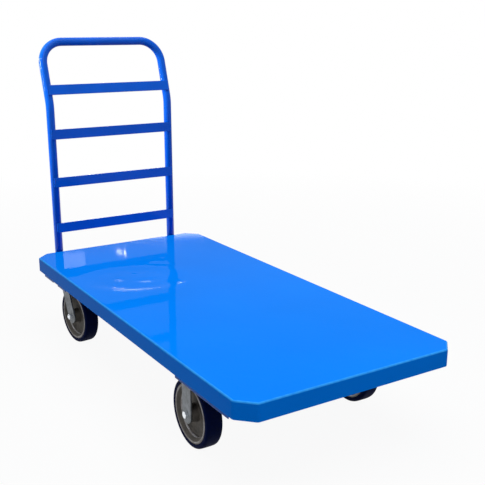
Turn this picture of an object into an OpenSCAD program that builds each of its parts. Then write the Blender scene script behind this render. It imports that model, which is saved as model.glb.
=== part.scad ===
// Platform cart: a folded steel deck on two rigid and two swivel casters,
// with a bent-tube push handle that drops into two sockets and lifts out.
// Origin on the floor under the middle of the cart, +X away from the handle, +Z up.
// Left and right are those of a person who pushes the cart, so left is +Y.

/* [Deck] */
// Length of the deck
deck_len = 1524; // [1400:1:1800]
// Width of the deck
deck_w = 711; // [660:1:800]
// Leg of each 45 degree corner cut
corner_cut = 45; // [30:1:60]
// Depth of the folded skirt, from the deck's top
skirt_h = 50.8; // [40:0.1:60]
// Thickness of the deck's sheet
sheet_t = 3; // [2:0.1:4]

/* [Underframe] */
// Depth of the caster cradles, from web to deck
cradle_h = 42.7; // [36:0.1:60]
// Thickness of the cradles' plate
cradle_t = 3; // [2:0.1:4]
// Width of the flanges that join a cradle to the deck
cradle_flange = 22; // [15:1:30]
// Plate beyond the rigid caster's plate, towards the handle
front_cradle_rear = 7; // [4:1:30]
// Front edge of the front cradle, behind the deck's front end
front_cradle_setback = 70; // [60:1:150]
// Front side plate's start, in front of the rigid caster's axle
front_side_start = 9; // [0:1:60]
// Plate beyond the swivel caster's plate, towards the handle
rear_cradle_rear = 36; // [20:1:50]
// Plate beyond the swivel caster's plate, away from the handle
rear_cradle_front = 73; // [20:1:100]
// How far the side plates stand below the skirt
side_drop = 10.5; // [5:0.1:14]
// Depth of the notch in a rear side plate
notch_h = 4; // [2:0.1:5]
// Length of that notch
notch_len = 50; // [30:1:60]
// Depth of the lengthwise ribs
rib_h = 25; // [15:1:34]
// Width of the ribs across their webs
rib_w = 60; // [40:1:80]
// Flange of a rib against the deck
rib_flange = 18; // [10:1:25]
// Thickness of the ribs' sheet
rib_t = 2.5; // [2:0.1:4]
// Distance of each rib from the middle of the deck
rib_y = 150; // [90:1:200]
// Depth of the channel inside the handle end's skirt
channel_depth = 30; // [20:1:45]
// Thickness of that channel
channel_t = 3; // [2:0.1:5]

/* [Handle] */
// Outside diameter of the handle's tube
tube_d = 31.75; // [28:0.05:38]
// Wall of the handle's tube
tube_wall = 2.1; // [1.5:0.1:3]
// Centre of each post, in from the deck's side
post_inset = 106; // [90:1:150]
// Height of the bend above the deck
bend_z = 573.5; // [550:0.5:650]
// Lean of the handle's top, away from the deck
lean = 17.2; // [5:0.1:25]
// Radius of that bend, on the tube's centre line
bend_r = 150; // [100:1:200]
// Length of the leaning part, from the bend to the top bar's centre
top_run = 241.6; // [220:0.1:320]
// Radius of the top corners, on the tube's centre line
corner_r = 85; // [60:1:110]
// Height of the rungs
rung_h = 38.1; // [25:0.1:50]
// Thickness of the rungs
rung_t = 5; // [3:0.1:8]
// How far a rung reaches past the middle of each post
rung_over = 4; // [1:0.5:12]
// Centre of the lowest rung above the deck
rung_1_z = 95; // [70:1:120]
// Centre of the second rung above the deck
rung_2_z = 276; // [200:1:320]
// Centre of the third rung above the deck
rung_3_z = 462; // [400:1:490]
// Centre of the top rung, along the lean from the bend
rung_4_run = 52; // [48:1:80]

/* [Sockets] */
// Wall of the sockets
socket_wall = 3.6; // [2.5:0.1:6]
// Radial clearance between a post and its socket
socket_clear = 0.4; // [0.3:0.05:1]
// Length of the sockets
socket_len = 100; // [70:1:140]
// Top of the sockets, below the deck's top
socket_drop = 15; // [8:1:24]
// Thickness of the stop under each socket
stop_t = 4; // [2:0.5:8]
// Gap between a post's end and its stop
stop_gap = 0.3; // [0.1:0.1:0.6]

/* [Wheels] */
// Diameter of the wheels
wheel_d = 203.2; // [180:0.1:230]
// Width of the wheels
wheel_w = 50.8; // [44:0.1:60]
// Thickness of the tread
tread_t = 14.6; // [12:0.1:16]
// Radius of the tread's edges
tread_edge_r = 6; // [3:0.1:6]
// How far the rim's face lies inside the tread's side
rim_step = 1; // [0.4:0.1:2]
// Radial width of the rim's face
rim_t = 7; // [6:0.5:9]
// Width of the raised ring along the rim's inner edge
lip_w = 3; // [2:0.1:4]
// Height of that ring
lip_h = 0.8; // [0.2:0.1:1]
// Radial width of the dished shoulder inside the rim
shoulder_w = 10; // [6:0.5:12]
// Depth of that shoulder, from the rim's face
shoulder_depth = 12; // [8:0.5:14]
// Thickness of the wheel's web
web_t = 9; // [6:0.5:16]
// Outside diameter of the hub
hub_d = 48; // [42:0.5:60]
// How far the hub stands out past the wheel, each side
hub_proud = 3; // [1.5:0.1:4]

/* [Axles] */
// Diameter of the axle bolts
axle_d = 12.7; // [10:0.1:14]
// Wall of the bush that the axle bolt clamps
bush_wall = 3.2; // [2.5:0.1:4.5]
// Diameter of the bearing rollers
roller_d = 5.45; // [4.5:0.05:6.5]
// Rollers in each wheel
roller_count = 12; // [8:1:12]
// Running clearance of rollers and pins, on the radius
run_clear = 0.05; // [0.02:0.01:0.1]
// Thickness of the thrust washers
thrust_t = 1; // [0.8:0.1:2]
// Diameter of the thrust washers
thrust_d = 38; // [32:0.5:44]
// Side play of a wheel, each side
side_play = 0.3; // [0.2:0.1:0.8]
// Width of the axle's head and nut across the flats
axle_hex = 19.05; // [17:0.05:24]
// Height of the axle bolt's head
axle_head_h = 8; // [6:0.5:10]
// Height of the axle's nut
axle_nut_h = 11; // [8:0.5:13]
// Thread that shows past a nut
thread_show = 3; // [1:0.5:6]

/* [Casters] */
// Height of the caster's head, from the wheel's top to the plate's top
head_h = 38.1; // [37:0.1:60]
// Length of a caster's plate, along the cart
plate_len = 114.3; // [112:0.1:130]
// Width of a caster's plate
plate_w = 101.6; // [92:0.1:120]
// Thickness of a caster's plate
plate_t = 6.35; // [5:0.05:8]
// Distance between the plate's holes, along the cart
hole_dx = 92; // [91:0.5:96]
// Distance between the plate's holes, across the cart
hole_dy = 68; // [66:0.5:76]
// Diameter of the plate's bolts
bolt_d = 9.5; // [8:0.1:10]
// Width of the plate bolts' heads across the flats
bolt_hex = 14.3; // [13:0.1:15]
// Height of the plate bolts' heads
bolt_head_h = 6; // [5:0.1:7]
// Height of the plate bolts' nuts
bolt_nut_h = 8; // [6:0.5:9]
// Thickness of the fork's legs
leg_t = 5; // [4:0.1:6]
// Width of the fork's legs
leg_w = 49; // [44:0.1:49.5]
// Diameter of a leg's round end
leg_end_d = 50; // [50:0.1:56]
// Centre of a leg's round end, below the axle
leg_drop = 2; // [0:0.1:6]
// Length of the fork's crown, along the wheel
crown_len = 60; // [52:0.5:64]
// Rigid caster's axle, behind the deck's front end
front_setback = 358; // [300:1:420]
// Swivel caster's pin, in front of the deck's handle end
rear_setback = 192; // [180:1:260]
// Wheel's middle plane and swivel pin, in from the deck's side
caster_inset = 76; // [74:0.5:110]

/* [Swivel] */
// Distance from the swivel pin to the axle
lead = 52; // [35:0.5:58]
// Turn of both swivel casters at rest
swivel_yaw = 6.4; // [-20:0.1:20]
// Thickness of the swivel fork's crown
crown_t = 6; // [5:0.1:7]
// Thickness of the race under the plate
race_t = 3; // [2.5:0.1:4]
// Diameter of the swivel's balls
ball_d = 7; // [6.6:0.1:7.6]
// Gap between the race and the crown
race_gap = 5; // [4:0.1:6]
// Radius of the circle of balls
race_r = 24; // [22:0.5:25]
// Outside diameter of the round race plates
race_d = 76; // [70:0.5:78]
// Diameter of the swivel pin
king_d = 16; // [12:0.5:18]
// Diameter of the swivel pin's sunk head
king_head_d = 26; // [22:0.5:30]
// Height of the swivel pin's sunk head
king_head_h = 3; // [2:0.1:4]
// Height of the swivel pin's nut
king_nut_h = 8; // [6:0.5:9]
// Width of the swivel pin's nut across the flats
king_nut_hex = 24; // [21:0.5:27]
// Gap between that nut and the crown
king_nut_gap = 0.3; // [0.2:0.1:0.5]

/* [Hidden] */
$fn = 64;

paint = "dodgerblue";
dark_paint = "royalblue";
zinc = "silver";
left = 1;
right = -1;
// overshoot of a cut past the face that it opens
cut = 1;
// sides of the handle's tube, and steps of its bends and corners
tube_sides = 24;
bend_steps = 4;
corner_steps = 12;
// clearance of a bolt in its hole and of a nut on its thread, on the radius
hole_clear = 0.4;
thread_clear = 0.05;
// bond between a wheel's rim and its tread
bond_t = 0.2;
// gap that a weld fills between two sheets
weld_gap = 0.05;
// end rings of a wheel's rollers, and their gap to the rollers
cage_t = 2;
cage_gap = 0.1;

// heights above the floor
axle_z = wheel_d / 2;
plate_top = wheel_d + head_h;
plate_bottom = plate_top - plate_t;
deck_under = plate_top + cradle_h;
deck_top = deck_under + sheet_t;
skirt_bottom = deck_top - skirt_h;
side_bottom = skirt_bottom - side_drop;
crown_top = plate_bottom - race_t - race_gap;
crown_bottom = crown_top - crown_t;

// handle: the tube's centre line starts at the posts, behind the deck's end
tube_r = tube_d / 2;
socket_r = tube_r + socket_clear + socket_wall;
post_back = socket_r;
top_back = post_back + top_run * sin(lean);
post_y = deck_w / 2 - post_inset;
bend_reach = bend_r * tan(lean / 2);
socket_top = deck_top - socket_drop;
socket_bottom = socket_top - socket_len;
post_bottom = socket_bottom + stop_gap;
bend_top = deck_top + bend_z;

// the deck's middle lies in front of the origin by half of what the handle leans out
deck_x = (top_back + tube_r) / 2;
deck_front = deck_x + deck_len / 2;
deck_rear = deck_x - deck_len / 2;
post_x = deck_rear - post_back;

// casters
front_x = deck_front - front_setback;
rear_x = deck_rear + rear_setback;
caster_y = deck_w / 2 - caster_inset;
hub_half = wheel_w / 2 + hub_proud;
fork_in = hub_half + side_play + thrust_t;
fork_out = fork_in + leg_t;
bush_r = axle_d / 2 + thread_clear + bush_wall;
roller_r = bush_r + run_clear + roller_d / 2;
bore_r = roller_r + roller_d / 2 + run_clear;
core_r = wheel_d / 2 - tread_t;
rim_r = core_r - rim_t;
shoulder_r = rim_r - shoulder_w;
leg_end_z = axle_z - leg_drop;

// underframe
inner_half_w = deck_w / 2 - sheet_t;
front_cradle_x0 = front_x - plate_len / 2 - front_cradle_rear;
front_cradle_x1 = deck_front - front_cradle_setback;
rear_cradle_x0 = rear_x - plate_len / 2 - rear_cradle_rear;
rear_cradle_x1 = rear_x + plate_len / 2 + rear_cradle_front;
channel_half = deck_w / 2 - corner_cut - 2 * sheet_t;

// ---- helpers ----

// block in the deck's outline, inset all round
module deck_block(inset, h) {
    x = deck_len / 2 - inset;
    y = deck_w / 2 - inset;
    // an inset of all eight faces shortens the corner cuts
    c = corner_cut - inset * (2 - sqrt(2));
    linear_extrude(h) polygon([
        [x, c - y], [x, y - c], [x - c, y], [c - x, y], [-x, y - c], [-x, c - y], [c - x, -y], [x - c, -y]
    ]);
}

// plate bent down at both long edges, with flanges: an open hat, extruded along X
module hat_profile(w, h, flange, t) {
    translate([-w / 2, -h]) square([w, t]);
    for (flip = [0, 1]) mirror([flip, 0]) {
        translate([w / 2 - t, -h]) square([t, h]);
        translate([w / 2 - t, -t]) square([flange + t, t]);
    }
}

// hexagonal prism along +Z, by its width across the flats
module hex(af, h) {
    cylinder(h = h, d = af / cos(30), $fn = 6);
}

module ring(r_out, r_in, h) {
    difference() {
        cylinder(h = h, r = r_out);
        translate([0, 0, -cut]) cylinder(h = h + 2 * cut, r = r_in);
    }
}

// turns what points along +X to face the given way along X
module facing(dir) {
    rotate([0, 0, dir > 0 ? 0 : 180]) children();
}

// turns what lies along +Z onto the side's own Y direction
module along_y(side) {
    rotate([-90 * side, 0, 0]) children();
}

module at_front(side) {
    translate([front_x, side * caster_y, 0]) children();
}

module at_rear(side) {
    translate([rear_x, side * caster_y, 0]) rotate([0, 0, swivel_yaw]) children();
}

module plate_holes() {
    for (x = [-1, 1], y = [-1, 1]) translate([x * hole_dx / 2, y * hole_dy / 2, 0]) children();
}

// ---- deck and underframe ----

module deck_pan() {
    color(paint) translate([deck_x, 0, skirt_bottom]) difference() {
        deck_block(0, skirt_h);
        translate([0, 0, -cut]) deck_block(sheet_t, skirt_h - sheet_t + cut);
    }
}

// box-like hat across the cart, web down, drilled for the casters' plates
module cradle(x0, x1, plate_x) {
    hat_w = x1 - x0 - 2 * cradle_flange;
    color(dark_paint) difference() {
        translate([(x0 + x1) / 2, 0, deck_under]) rotate([90, 0, 0])
            linear_extrude(2 * (inner_half_w - cradle_t), center = true)
                hat_profile(hat_w, cradle_h, cradle_flange, cradle_t);
        for (side = [left, right]) translate([plate_x, side * caster_y, plate_top - cut])
            plate_holes() cylinder(h = cradle_t + 2 * cut, r = bolt_d / 2 + hole_clear);
    }
}

module front_cradle() {
    cradle(front_cradle_x0 - cradle_flange, front_cradle_x1, front_x);
}

module rear_cradle() {
    cradle(rear_cradle_x0, rear_cradle_x1, rear_x);
}

// plate inside the skirt, closing a cradle's end
module side_plate(side, x0, x1) {
    y0 = side > 0 ? inner_half_w - cradle_t : -inner_half_w;
    translate([x0, y0, side_bottom]) cube([x1 - x0, cradle_t, deck_under - side_bottom]);
}

module front_side_plates() {
    color(paint) for (side = [left, right])
        side_plate(side, front_x + front_side_start, front_cradle_x1);
}

module rear_side_plates() {
    color(dark_paint) for (side = [left, right]) difference() {
        side_plate(side, rear_cradle_x0, rear_cradle_x1);
        translate([rear_x, side * inner_half_w - 2 * cradle_t, side_bottom - cut])
            cube([notch_len, 4 * cradle_t, notch_h + cut]);
    }
}

module rib(side) {
    x0 = rear_cradle_x1 + weld_gap;
    x1 = front_cradle_x0 - cradle_flange - weld_gap;
    color(dark_paint) translate([(x0 + x1) / 2, side * rib_y, deck_under]) rotate([90, 0, 90])
        linear_extrude(x1 - x0, center = true) hat_profile(rib_w, rib_h, rib_flange, rib_t);
}

// channel inside an end's skirt, open towards the cart's middle
module skirt_channel(x_face, dir) {
    h = skirt_h - sheet_t;
    color(dark_paint) translate([x_face, 0, skirt_bottom]) facing(dir) difference() {
        translate([0, -channel_half, 0]) cube([channel_depth, 2 * channel_half, h]);
        translate([channel_t, -channel_half - cut, channel_t])
            cube([channel_depth, 2 * (channel_half + cut), h - 2 * channel_t]);
    }
}

module end_channel() {
    skirt_channel(deck_rear + sheet_t + weld_gap, 1);
}

module nose_channel() {
    skirt_channel(deck_front - sheet_t - weld_gap, -1);
}

// ---- handle and its sockets ----

module socket(side) {
    color(paint) translate([post_x, side * post_y, socket_bottom])
        ring(socket_r, tube_r + socket_clear, socket_len);
}

module socket_stops() {
    color(paint) for (side = [left, right])
        translate([post_x, side * post_y, socket_bottom - stop_t]) cylinder(h = stop_t, r = socket_r);
}

// places its children in the leaning plane, with +Z along the lean from the bend
module leaning() {
    translate([post_x, 0, bend_top]) rotate([0, -lean, 0]) children();
}

// a station of the tube's centre line: where it is, how far the tube leans there,
// and how far it has turned over from going up on the left (0) to down on the right (180)
function station(x, y, z, a, turn) = [[x, y, z], a, turn];

function bend_station(y, a, turn) = station(
    post_x - bend_r * (1 - cos(a)), y, bend_top - bend_reach + bend_r * sin(a), a, turn);

function hoop_station(y, turn) = let (s = top_run - corner_r + corner_r * sin(turn)) station(
    post_x - s * sin(lean), y + corner_r * cos(turn), bend_top + s * cos(lean), lean, turn);

// the whole centre line, run past both open ends by a given length
function tube_stations(past) = concat(
    [station(post_x, post_y, post_bottom - past, 0, 0)],
    [for (i = [0 : bend_steps]) bend_station(post_y, lean * i / bend_steps, 0)],
    [for (i = [0 : corner_steps]) hoop_station(post_y - corner_r, 90 * i / corner_steps)],
    [for (i = [0 : corner_steps]) hoop_station(corner_r - post_y, 90 + 90 * i / corner_steps)],
    [for (i = [0 : bend_steps]) bend_station(-post_y, lean * (1 - i / bend_steps), 180)],
    [station(post_x, -post_y, post_bottom - past, 0, 180)]
);

// points of the ring of given radius about a station
function tube_ring(st, r) = let (
    normal = [cos(st[1]), 0, sin(st[1])],
    ahead = [-sin(st[1]) * cos(st[2]), -sin(st[2]), cos(st[1]) * cos(st[2])],
    aside = cross(normal, ahead)
) [for (j = [0 : tube_sides - 1]) let (t = 360 * j / tube_sides)
    st[0] + r * (cos(t) * normal + sin(t) * aside)];

module tube_rod(r, past) {
    stations = tube_stations(past);
    last = len(stations) - 1;
    points = [for (st = stations) each tube_ring(st, r)];
    walls = [for (i = [0 : last - 1], j = [0 : tube_sides - 1]) let (k = (j + 1) % tube_sides)
        [i * tube_sides + j, i * tube_sides + k, (i + 1) * tube_sides + k, (i + 1) * tube_sides + j]];
    ends = [
        [for (j = [0 : tube_sides - 1]) tube_sides - 1 - j],
        [for (j = [0 : tube_sides - 1]) last * tube_sides + j]
    ];
    polyhedron(points, concat(walls, ends));
}

module handle_tube() {
    color(dark_paint) difference() {
        tube_rod(tube_r, 0);
        tube_rod(tube_r - tube_wall, cut);
    }
}

// flat bar on the deck side of both posts, centred on its own height
module rung_bar() {
    translate([tube_r, -post_y - rung_over, -rung_h / 2]) cube([rung_t, 2 * (post_y + rung_over), rung_h]);
}

module rung(z) {
    color(dark_paint) translate([post_x, 0, deck_top + z]) rung_bar();
}

module top_rung() {
    color(dark_paint) leaning() translate([0, 0, rung_4_run]) rung_bar();
}

// ---- casters ----

module caster_plate() {
    difference() {
        translate([-plate_len / 2, -plate_w / 2, plate_bottom]) cube([plate_len, plate_w, plate_t]);
        translate([0, 0, plate_bottom - cut]) plate_holes()
            cylinder(h = plate_t + 2 * cut, r = bolt_d / 2 + hole_clear);
    }
}

module rigid_plate(side) {
    color(zinc) at_front(side) caster_plate();
}

// plate, race and a sunk seat for the pin's head; the race holds half of the balls' groove
module swivel_plate(side) {
    color(zinc) translate([rear_x, side * caster_y, 0]) difference() {
        union() {
            caster_plate();
            translate([0, 0, plate_bottom - race_t]) cylinder(h = race_t + cut, d = race_d);
        }
        ball_groove();
        translate([0, 0, crown_top]) cylinder(h = plate_top, r = king_d / 2 + thread_clear);
        translate([0, 0, plate_top - king_head_h])
            cylinder(h = king_head_h + cut, r = king_head_d / 2 + thread_clear);
    }
}

// ring-shaped groove that the swivel's balls run in, shared by race and crown
module ball_groove() {
    translate([0, 0, crown_top + race_gap / 2]) rotate_extrude()
        translate([race_r, 0]) circle(d = ball_d + 2 * run_clear);
}

// side view of a leg: a strip from the crown down to a round end about the axle
module leg_outline(z_top, x_axle) {
    span = z_top - leg_end_z;
    slant = atan2(x_axle, span);
    intersection() {
        union() {
            translate([x_axle, leg_end_z]) circle(d = leg_end_d);
            translate([x_axle, leg_end_z]) rotate([0, 0, slant]) translate([-leg_w / 2, 0])
                square([leg_w, 2 * span]);
        }
        translate([-wheel_d, 0]) square([2 * wheel_d, z_top]);
    }
}

module fork(z_top, t, x_axle) {
    difference() {
        union() {
            translate([-crown_len / 2, -fork_out, z_top - t]) cube([crown_len, 2 * fork_out, t]);
            for (s = [-1, 1]) translate([0, s * (fork_in + leg_t / 2), 0]) rotate([90, 0, 0])
                linear_extrude(leg_t, center = true) leg_outline(z_top, x_axle);
        }
        translate([x_axle, -fork_out - cut, axle_z]) rotate([-90, 0, 0])
            cylinder(h = 2 * (fork_out + cut), r = axle_d / 2 + hole_clear);
    }
}

module rigid_fork(side) {
    color(zinc) at_front(side) fork(plate_bottom, leg_t, 0);
}

module swivel_fork(side) {
    color(zinc) at_rear(side) difference() {
        union() {
            fork(crown_top, crown_t, lead);
            translate([0, 0, crown_bottom]) cylinder(h = crown_t, d = race_d);
        }
        ball_groove();
        translate([0, 0, crown_bottom - cut]) cylinder(h = crown_t + 2 * cut, r = king_d / 2 + run_clear);
    }
}

module race_balls(side) {
    ball_count = floor(360 / (2 * asin(ball_d / 2 / race_r)) - 0.5);
    color(zinc) at_rear(side) for (i = [0 : ball_count - 1])
        rotate([0, 0, i * 360 / ball_count]) translate([race_r, 0, crown_top + race_gap / 2])
            sphere(d = ball_d);
}

module kingpins() {
    foot = crown_bottom - king_nut_gap - king_nut_h - thread_show / 2;
    color(zinc) for (side = [left, right]) translate([rear_x, side * caster_y, 0]) {
        translate([0, 0, foot]) cylinder(h = plate_top - king_head_h - foot, d = king_d);
        translate([0, 0, plate_top - king_head_h]) cylinder(h = king_head_h, d = king_head_d);
    }
}

module kingpin_nuts() {
    color(zinc) for (side = [left, right])
        translate([rear_x, side * caster_y, crown_bottom - king_nut_gap - king_nut_h]) difference() {
            hex(king_nut_hex, king_nut_h);
            translate([0, 0, -cut]) cylinder(h = king_nut_h + 2 * cut, r = king_d / 2 + thread_clear);
        }
}

// ---- plate bolts: heads under the caster's plate, nuts on the cradle's web ----

module plate_bolts(x) {
    shank = plate_t + cradle_t + bolt_nut_h + thread_show;
    color(zinc) for (side = [left, right]) translate([x, side * caster_y, plate_bottom]) plate_holes() {
        translate([0, 0, -bolt_head_h]) hex(bolt_hex, bolt_head_h);
        cylinder(h = shank, d = bolt_d);
    }
}

module plate_nuts(x) {
    color(zinc) for (side = [left, right]) translate([x, side * caster_y, plate_top + cradle_t]) plate_holes()
        difference() {
            hex(bolt_hex, bolt_nut_h);
            translate([0, 0, -cut]) cylinder(h = bolt_nut_h + 2 * cut, r = bolt_d / 2 + thread_clear);
        }
}

module front_plate_bolts() {
    plate_bolts(front_x);
}

module front_plate_nuts() {
    plate_nuts(front_x);
}

module rear_plate_bolts() {
    plate_bolts(rear_x);
}

module rear_plate_nuts() {
    plate_nuts(rear_x);
}

// ---- axles: each is built about its own wheel's middle, along Y ----

module axle_bolt(head_side) {
    translate([0, 0, axle_z]) along_y(head_side) {
        translate([0, 0, fork_out]) hex(axle_hex, axle_head_h);
        translate([0, 0, -fork_out - axle_nut_h - thread_show])
            cylinder(h = 2 * fork_out + axle_nut_h + thread_show, d = axle_d);
    }
}

module axle_nut(nut_side) {
    translate([0, 0, axle_z]) along_y(nut_side) translate([0, 0, fork_out]) difference() {
        hex(axle_hex, axle_nut_h);
        translate([0, 0, -cut]) cylinder(h = axle_nut_h + 2 * cut, r = axle_d / 2 + thread_clear);
    }
}

module bush() {
    translate([0, 0, axle_z]) along_y(left) translate([0, 0, -fork_in])
        ring(bush_r, axle_d / 2 + thread_clear, 2 * fork_in);
}

module thrust_washers() {
    translate([0, 0, axle_z]) for (s = [-1, 1]) along_y(s)
        translate([0, 0, fork_in - thrust_t]) ring(thrust_d / 2, bush_r + thread_clear, thrust_t);
}

// front axle bolts go in from outboard
module front_axle_bolts() {
    color(zinc) for (side = [left, right]) at_front(side) axle_bolt(side);
}

module front_axle_nuts() {
    color(zinc) for (side = [left, right]) at_front(side) axle_nut(-side);
}

module front_bushes() {
    color(zinc) for (side = [left, right]) at_front(side) bush();
}

module front_thrust_washers() {
    color(zinc) for (side = [left, right]) at_front(side) thrust_washers();
}

// rear axle bolts go in from inboard
module rear_axle_bolt(side) {
    color(zinc) at_rear(side) translate([lead, 0, 0]) axle_bolt(-side);
}

module rear_axle_nut(side) {
    color(zinc) at_rear(side) translate([lead, 0, 0]) axle_nut(side);
}

module rear_bush(side) {
    color(zinc) at_rear(side) translate([lead, 0, 0]) bush();
}

module rear_thrust_washers(side) {
    color(zinc) at_rear(side) translate([lead, 0, 0]) thrust_washers();
}

// ---- wheels ----

// half of the cast wheel's section, radius along X and width along Y, hub to rim
function wheel_edge(s) = let (
    rim_half = wheel_w / 2 - rim_step,
    draft = rim_half / 8
) [
    [bore_r, s * hub_half], [hub_d / 2, s * hub_half], [hub_d / 2 + draft, s * web_t / 2],
    [shoulder_r - draft, s * web_t / 2], [shoulder_r, s * (rim_half - shoulder_depth)],
    [rim_r, s * (rim_half + lip_h)], [rim_r + lip_w, s * (rim_half + lip_h)],
    [rim_r + lip_w, s * rim_half], [core_r, s * rim_half]
];

function backwards(points) = [for (i = [1 : len(points)]) points[len(points) - i]];

module wheel_section() {
    polygon(concat(wheel_edge(1), backwards(wheel_edge(-1))));
}

module tread_section() {
    r = tread_edge_r;
    outer = wheel_d / 2;
    inner = core_r + bond_t;
    intersection() {
        union() {
            translate([inner, -wheel_w / 2 + r]) square([outer - inner, wheel_w - 2 * r]);
            translate([inner, -wheel_w / 2]) square([outer - r - inner, wheel_w]);
            for (s = [-1, 1]) translate([outer - r, s * (wheel_w / 2 - r)]) circle(r);
        }
        translate([inner, -wheel_w]) square([outer, 2 * wheel_w]);
    }
}

module wheel() {
    color("darkgray") translate([0, 0, axle_z]) rotate([90, 0, 0]) rotate_extrude($fn = 96) wheel_section();
}

module tread() {
    color("black") translate([0, 0, axle_z]) rotate([90, 0, 0]) rotate_extrude($fn = 96) tread_section();
}

// rollers between bush and hub, with a ring at each end
module rollers() {
    roller_half = hub_half - 2 * cage_t;
    color(zinc) translate([0, 0, axle_z]) rotate([90, 0, 0]) {
        for (i = [0 : roller_count - 1]) rotate([0, 0, i * 360 / roller_count])
            translate([roller_r, 0, -roller_half]) cylinder(h = 2 * roller_half, d = roller_d, $fn = 24);
        for (z = [-roller_half - cage_gap - cage_t, roller_half + cage_gap]) translate([0, 0, z])
            ring(bore_r - hole_clear, bush_r + hole_clear, cage_t);
    }
}

module at_front_wheel(side) {
    at_front(side) children();
}

module at_rear_wheel(side) {
    at_rear(side) translate([lead, 0, 0]) children();
}

deck_pan();
front_cradle();
rear_cradle();
front_side_plates();
rear_side_plates();
rib(left);  // rib_left
rib(right);  // rib_right
end_channel();
nose_channel();
socket(left);  // socket_left
socket(right);  // socket_right
socket_stops();
handle_tube();
rung(rung_1_z);  // rung_1
rung(rung_2_z);  // rung_2
rung(rung_3_z);  // rung_3
top_rung();  // rung_4
rigid_plate(left);  // rigid_plate_left
rigid_plate(right);  // rigid_plate_right
rigid_fork(left);  // rigid_fork_left
rigid_fork(right);  // rigid_fork_right
swivel_plate(left);  // swivel_plate_left
swivel_plate(right);  // swivel_plate_right
kingpins();
kingpin_nuts();
front_plate_bolts();
front_plate_nuts();
rear_plate_bolts();
rear_plate_nuts();
front_axle_bolts();
front_axle_nuts();
front_bushes();
front_thrust_washers();
swivel_fork(left);  // swivel_fork_left
swivel_fork(right);  // swivel_fork_right
race_balls(left);  // race_balls_left
race_balls(right);  // race_balls_right
rear_axle_bolt(left);  // rear_axle_bolt_left
rear_axle_bolt(right);  // rear_axle_bolt_right
rear_axle_nut(left);  // rear_axle_nut_left
rear_axle_nut(right);  // rear_axle_nut_right
rear_bush(left);  // rear_bush_left
rear_bush(right);  // rear_bush_right
rear_thrust_washers(left);  // rear_thrust_washers_left
rear_thrust_washers(right);  // rear_thrust_washers_right
at_front_wheel(left) wheel();  // front_left_wheel
at_front_wheel(right) wheel();  // front_right_wheel
at_rear_wheel(left) wheel();  // rear_left_wheel
at_rear_wheel(right) wheel();  // rear_right_wheel
at_front_wheel(left) tread();  // front_left_tread
at_front_wheel(right) tread();  // front_right_tread
at_rear_wheel(left) tread();  // rear_left_tread
at_rear_wheel(right) tread();  // rear_right_tread
at_front_wheel(left) rollers();  // front_left_rollers
at_front_wheel(right) rollers();  // front_right_rollers
at_rear_wheel(left) rollers();  // rear_left_rollers
at_rear_wheel(right) rollers();  // rear_right_rollers
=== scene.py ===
from math import atan2, cos, pi, radians, sin, tan

import bmesh
import bpy
from mathutils import Matrix, Vector


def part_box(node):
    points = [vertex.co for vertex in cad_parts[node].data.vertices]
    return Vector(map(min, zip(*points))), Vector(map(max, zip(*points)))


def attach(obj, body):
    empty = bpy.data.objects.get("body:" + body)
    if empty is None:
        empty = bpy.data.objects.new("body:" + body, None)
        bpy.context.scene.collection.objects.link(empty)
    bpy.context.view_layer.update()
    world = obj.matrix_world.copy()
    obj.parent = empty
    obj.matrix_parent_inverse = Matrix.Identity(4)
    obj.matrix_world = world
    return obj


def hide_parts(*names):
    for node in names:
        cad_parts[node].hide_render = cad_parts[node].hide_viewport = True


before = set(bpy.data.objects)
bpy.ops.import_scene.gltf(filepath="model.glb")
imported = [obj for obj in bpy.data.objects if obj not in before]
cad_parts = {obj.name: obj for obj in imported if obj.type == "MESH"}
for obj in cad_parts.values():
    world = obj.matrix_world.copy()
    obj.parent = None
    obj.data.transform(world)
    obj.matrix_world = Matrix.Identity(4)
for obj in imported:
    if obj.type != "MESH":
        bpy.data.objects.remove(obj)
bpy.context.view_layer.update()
print("cart frame loaded:", len(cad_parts), "solids")


# small helpers for the finishes
def newFinish(name):
    mat = bpy.data.materials.new(name)
    mat.use_nodes = True
    tree = mat.node_tree
    return mat, tree, tree.nodes["Principled BSDF"].inputs


def surfacePoint(tree, centre=(0, 0, 0), turn=(0, 0, 0), stretch=(1, 1, 1)):
    coord = tree.nodes.new("ShaderNodeTexCoord")
    place = tree.nodes.new("ShaderNodeMapping")
    place.vector_type = "TEXTURE"
    place.inputs["Location"].default_value = centre
    place.inputs["Rotation"].default_value = turn
    place.inputs["Scale"].default_value = stretch
    tree.links.new(coord.outputs["Object"], place.inputs["Vector"])
    return place.outputs["Vector"]


def mottle(tree, point, scale, detail=3.0, rough=0.55):
    noise = tree.nodes.new("ShaderNodeTexNoise")
    noise.inputs["Scale"].default_value = scale
    noise.inputs["Detail"].default_value = detail
    noise.inputs["Roughness"].default_value = rough
    tree.links.new(point, noise.inputs["Vector"])
    return noise.outputs["Fac"]


def rescaled(tree, value, fromLow, fromHigh, toLow, toHigh):
    node = tree.nodes.new("ShaderNodeMapRange")
    for name, number in (("From Min", fromLow), ("From Max", fromHigh),
                         ("To Min", toLow), ("To Max", toHigh)):
        node.inputs[name].default_value = number
    tree.links.new(value, node.inputs["Value"])
    return node.outputs["Result"]


def tinted(tree, amount, first, second):
    mix = tree.nodes.new("ShaderNodeMix")
    mix.data_type = "RGBA"
    tree.links.new(amount, mix.inputs[0])
    for socket, colour in ((mix.inputs[6], first), (mix.inputs[7], second)):
        if isinstance(colour, tuple):
            socket.default_value = (*colour, 1)
        else:
            tree.links.new(colour, socket)
    return mix.outputs[2]


def combined(tree, operation, first, second):
    node = tree.nodes.new("ShaderNodeMath")
    node.operation = operation
    for socket, value in zip(node.inputs, (first, second)):
        if isinstance(value, (int, float)):
            socket.default_value = value
        else:
            tree.links.new(value, socket)
    return node.outputs[0]


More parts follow.
